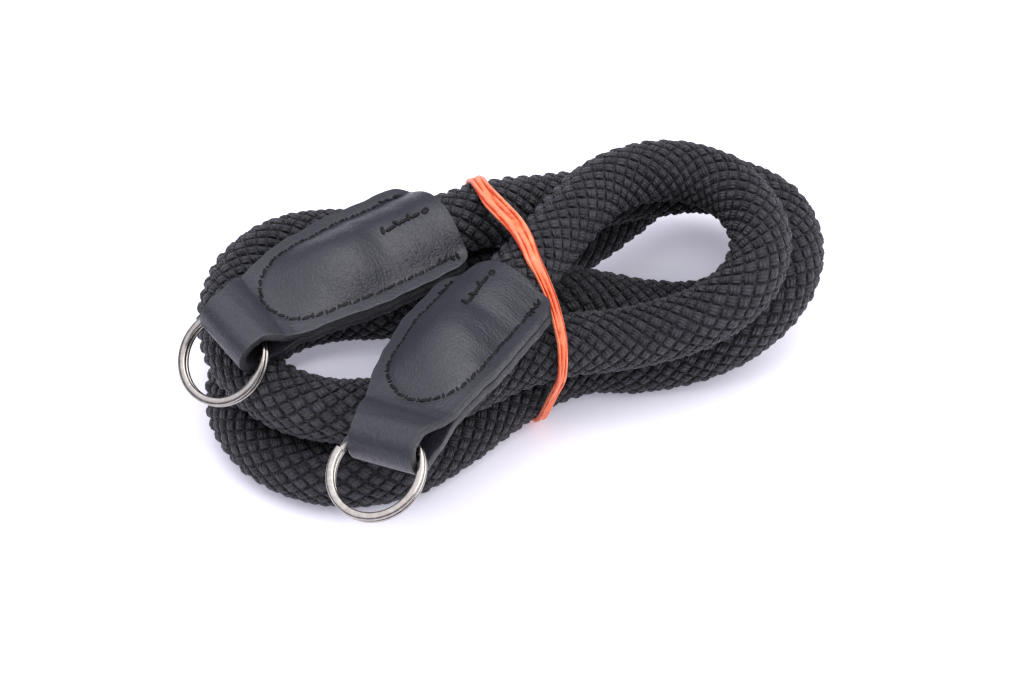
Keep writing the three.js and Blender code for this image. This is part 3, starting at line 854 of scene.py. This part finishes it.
def tieBand():
    along = unit(band["along"])
    across = np.cross(along, (0, 0, 1))
    solid = nodes["tie_band"].data
    points = getPoints(nodes["tie_band"]) / mm
    middle = (points.min(0) + points.max(0)) / 2
    outer = []
    for polygon in solid.polygons:  # the corners of the outer face, without the band's two sides
        normal, centre = np.array(polygon.normal), np.array(polygon.center) / mm
        if abs(normal @ across) < 0.5 and normal @ (centre - middle) > 0:
            outer += [points[i] for i in polygon.vertices]
    outer = np.array(outer) - middle
    flat = np.unique(np.round(np.column_stack([outer @ along, outer[:, 2]]), 3), axis=0)
    flat = flat[np.argsort(np.arctan2(flat[:, 1], flat[:, 0]))]
    loop = np.vstack([flat, flat[:1]])
    count = band["segments"]
    reached = np.concatenate([[0], np.cumsum(np.linalg.norm(np.diff(loop, axis=0), axis=1))])
    wanted = np.linspace(0, reached[-1], count, endpoint=False)
    line = np.column_stack([np.interp(wanted, reached, loop[:, i]) for i in (0, 1)])
    line = smoothLoop(line, band["smoothings"][0], own=2)
    forward = unit(np.roll(line, -1, 0) - np.roll(line, 1, 0))
    outward = np.column_stack([forward[:, 1], -forward[:, 0]])
    where = np.degrees(np.arctan2(line[:, 1], line[:, 0]))
    angles, left, shares = zip(*band["course"])
    wander = smoothLoop(np.interp(where, angles, left), band["smoothings"][1])
    halfWidth = smoothLoop(np.interp(where, angles, shares) * band["width"] / 2, band["smoothings"][1])

    # a torus gives the faces; its ring and section tell each point's place on the band
    tube = 0.25
    bpy.ops.object.select_all(action="DESELECT")
    bpy.ops.mesh.primitive_torus_add(major_segments=count, minor_segments=band["sectionPoints"],
                                     major_radius=1, minor_radius=tube)
    piece = newestPiece("rubber_tie_band")
    torus = getPoints(piece)
    step = np.round(np.arctan2(torus[:, 1], torus[:, 0]) / (2 * math.pi) * count).astype(int) % count
    fromMiddle = (np.hypot(torus[:, 0], torus[:, 1]) - 1) / tube
    upward = torus[:, 2] / tube
    share = np.sign(upward) * np.abs(upward) ** band["squareness"]
    thick = np.sign(fromMiddle) * np.abs(fromMiddle) ** band["squareness"] * band["thickness"] / 2
    turns = band["ridgeWander"] * np.sin(np.radians(3 * where[step]))
    folds = np.cos(math.pi * band["ridges"] * share + turns)
    slit = band["slit"]
    slitted = np.exp(-((where[step] - slit["angle"]) / slit["reach"]) ** 2
                     - ((share - slit["across"]) / slit["width"]) ** 2)
    thick += np.maximum(0, fromMiddle) * (band["ridgeHeight"] * folds - slit["depth"] * slitted)
    # by this the material paints a highlight on the ridge tops and shade in the folds and the slit
    ridge = piece.data.attributes.new("ridge", "FLOAT", "POINT")
    ridge.data.foreach_set("value", (0.5 + 0.5 * folds - 3 * slitted).astype(np.float32))
    spot = line[step] + outward[step] * (thick - band["thickness"] / 2)[:, None]
    sideways = across * (wander[step] - share * halfWidth[step])[:, None]
    place = middle + along * spot[:, :1] + np.array([0, 0, 1]) * spot[:, 1:] + sideways
    setPoints(piece, place * mm)
    pointFacesOutwards()
    return piece


# Natural rubber, extruded and dyed orange: semi-matt, with random pale streaks, a painted highlight on
# its ridges and painted shade in its folds and slit.
def orangeRubber():
    material, shader = startMaterial("orange rubber", {
        "Roughness": 0.42, "Specular IOR Level": 0.5, "IOR": 1.52,
        "Subsurface Weight": 0.15, "Subsurface Scale": 0.001,
    })
    place = addNode(material, "TexCoord").outputs["Object"]
    streaks = addNode(material, "TexNoise",
                      inputs={0: place, "Scale": band["streakScale"], "Detail": 4.0}).outputs[0]
    ridge = addNode(material, "Attribute", {"attribute_name": "ridge"}).outputs["Fac"]
    share, shift = band["streakShare"]
    marked = addNode(material, "Math", {"operation": "MULTIPLY_ADD"},
                     {0: streaks, 1: share, 2: shift}).outputs[0]
    height = addNode(material, "Math", {"operation": "ADD", "use_clamp": True},
                     {0: ridge, 1: marked}).outputs[0]
    plain, pale = linearColour(band["colour"]), linearColour(band["streakAndHighlightColour"])
    # painted highlight on the ridge tops, with random pale streaks
    stretched = addNode(material, "Mix", {"data_type": "RGBA"},
                        {0: height, 6: plain, 7: pale}).outputs[2]
    # painted shade in the folds and the slit
    shaded = addNode(material, "MapRange",
                     inputs={0: height, 1: band["shadeBelow"], 2: 0.0, 3: 0.0, 4: 1.0}).outputs[0]
    colour = addNode(material, "Mix", {"data_type": "RGBA"},
                     {0: shaded, 6: stretched, 7: linearColour(band["paintedShadeColour"])}).outputs[2]
    material.node_tree.links.new(colour, shader.inputs["Base Color"])
    strength, distance = band["streakBump"]
    bump = addNode(material, "Bump",
                   inputs={"Strength": strength, "Distance": distance * mm, "Height": streaks})
    material.node_tree.links.new(bump.outputs[0], shader.inputs["Normal"])
    return material


bandPiece = tieBand()
finishPiece(bandPiece, orangeRubber())
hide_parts("tie_band")
print("band tied")


studio = {
    "floorSize": 4,  # m
    "floorColour": "#f4f3f8",
    "floorGlow": "#eceaff",
    "glow": 0.3,  # the paper lies on a light table
    # height in the sky from 0 at the horizon to 1 overhead, brightness, colour
    "world": ((0.0, 0.15, "#f1efff"), (0.6, 0.5, "#f4f1ff"), (0.97, 1.2, "#f6f4ff")),
    "lights": [  # place and size in m, power in W
        {"name": "key", "place": (0.45, -0.22, 0.9), "size": 1.2, "power": 11, "colour": "#ffffff"},
        {"name": "fill", "place": (-0.5, 0.0, 0.9), "size": 1.2, "power": 5.5, "colour": "#f8f8ff"},
    ],
}

bpy.ops.mesh.primitive_plane_add(size=studio["floorSize"])
floor = newestPiece("studio_floor")
paper, _ = startMaterial("white paper", {
    "Base Color": linearColour(studio["floorColour"]), "Roughness": 0.9, "Specular IOR Level": 0.2,
    "Emission Color": linearColour(studio["floorGlow"]), "Emission Strength": studio["glow"],
})
floor.data.materials.append(paper)

scene = bpy.context.scene
scene.view_settings.view_transform = "Standard"
scene.world = scene.world or bpy.data.worlds.new("studio")
scene.world.use_nodes = True
worldNodes = scene.world.node_tree.nodes
direction = worldNodes.new("ShaderNodeTexCoord")
height = worldNodes.new("ShaderNodeSeparateXYZ")
sky = worldNodes.new("ShaderNodeValToRGB")
while len(sky.color_ramp.elements) < len(studio["world"]):
    sky.color_ramp.elements.new(0.5)
for element, (position, brightness, colour) in zip(sky.color_ramp.elements, studio["world"]):
    element.position = position
    element.color = [c * brightness for c in linearColour(colour)[:3]] + [1]
for output, socket in ((direction.outputs["Generated"], height.inputs[0]),
                       (height.outputs[2], sky.inputs[0]),
                       (sky.outputs[0], worldNodes["Background"].inputs[0])):
    scene.world.node_tree.links.new(output, socket)
for settings in studio["lights"]:
    bpy.ops.object.light_add(type="AREA", location=settings["place"])
    light = bpy.context.object
    light.name = settings["name"]
    light.rotation_euler = (-Vector(settings["place"])).to_track_quat("-Z", "Y").to_euler()
    light.data.size, light.data.energy = settings["size"], settings["power"]
    light.data.color = linearColour(settings["colour"])[:3]
print("studio lit")
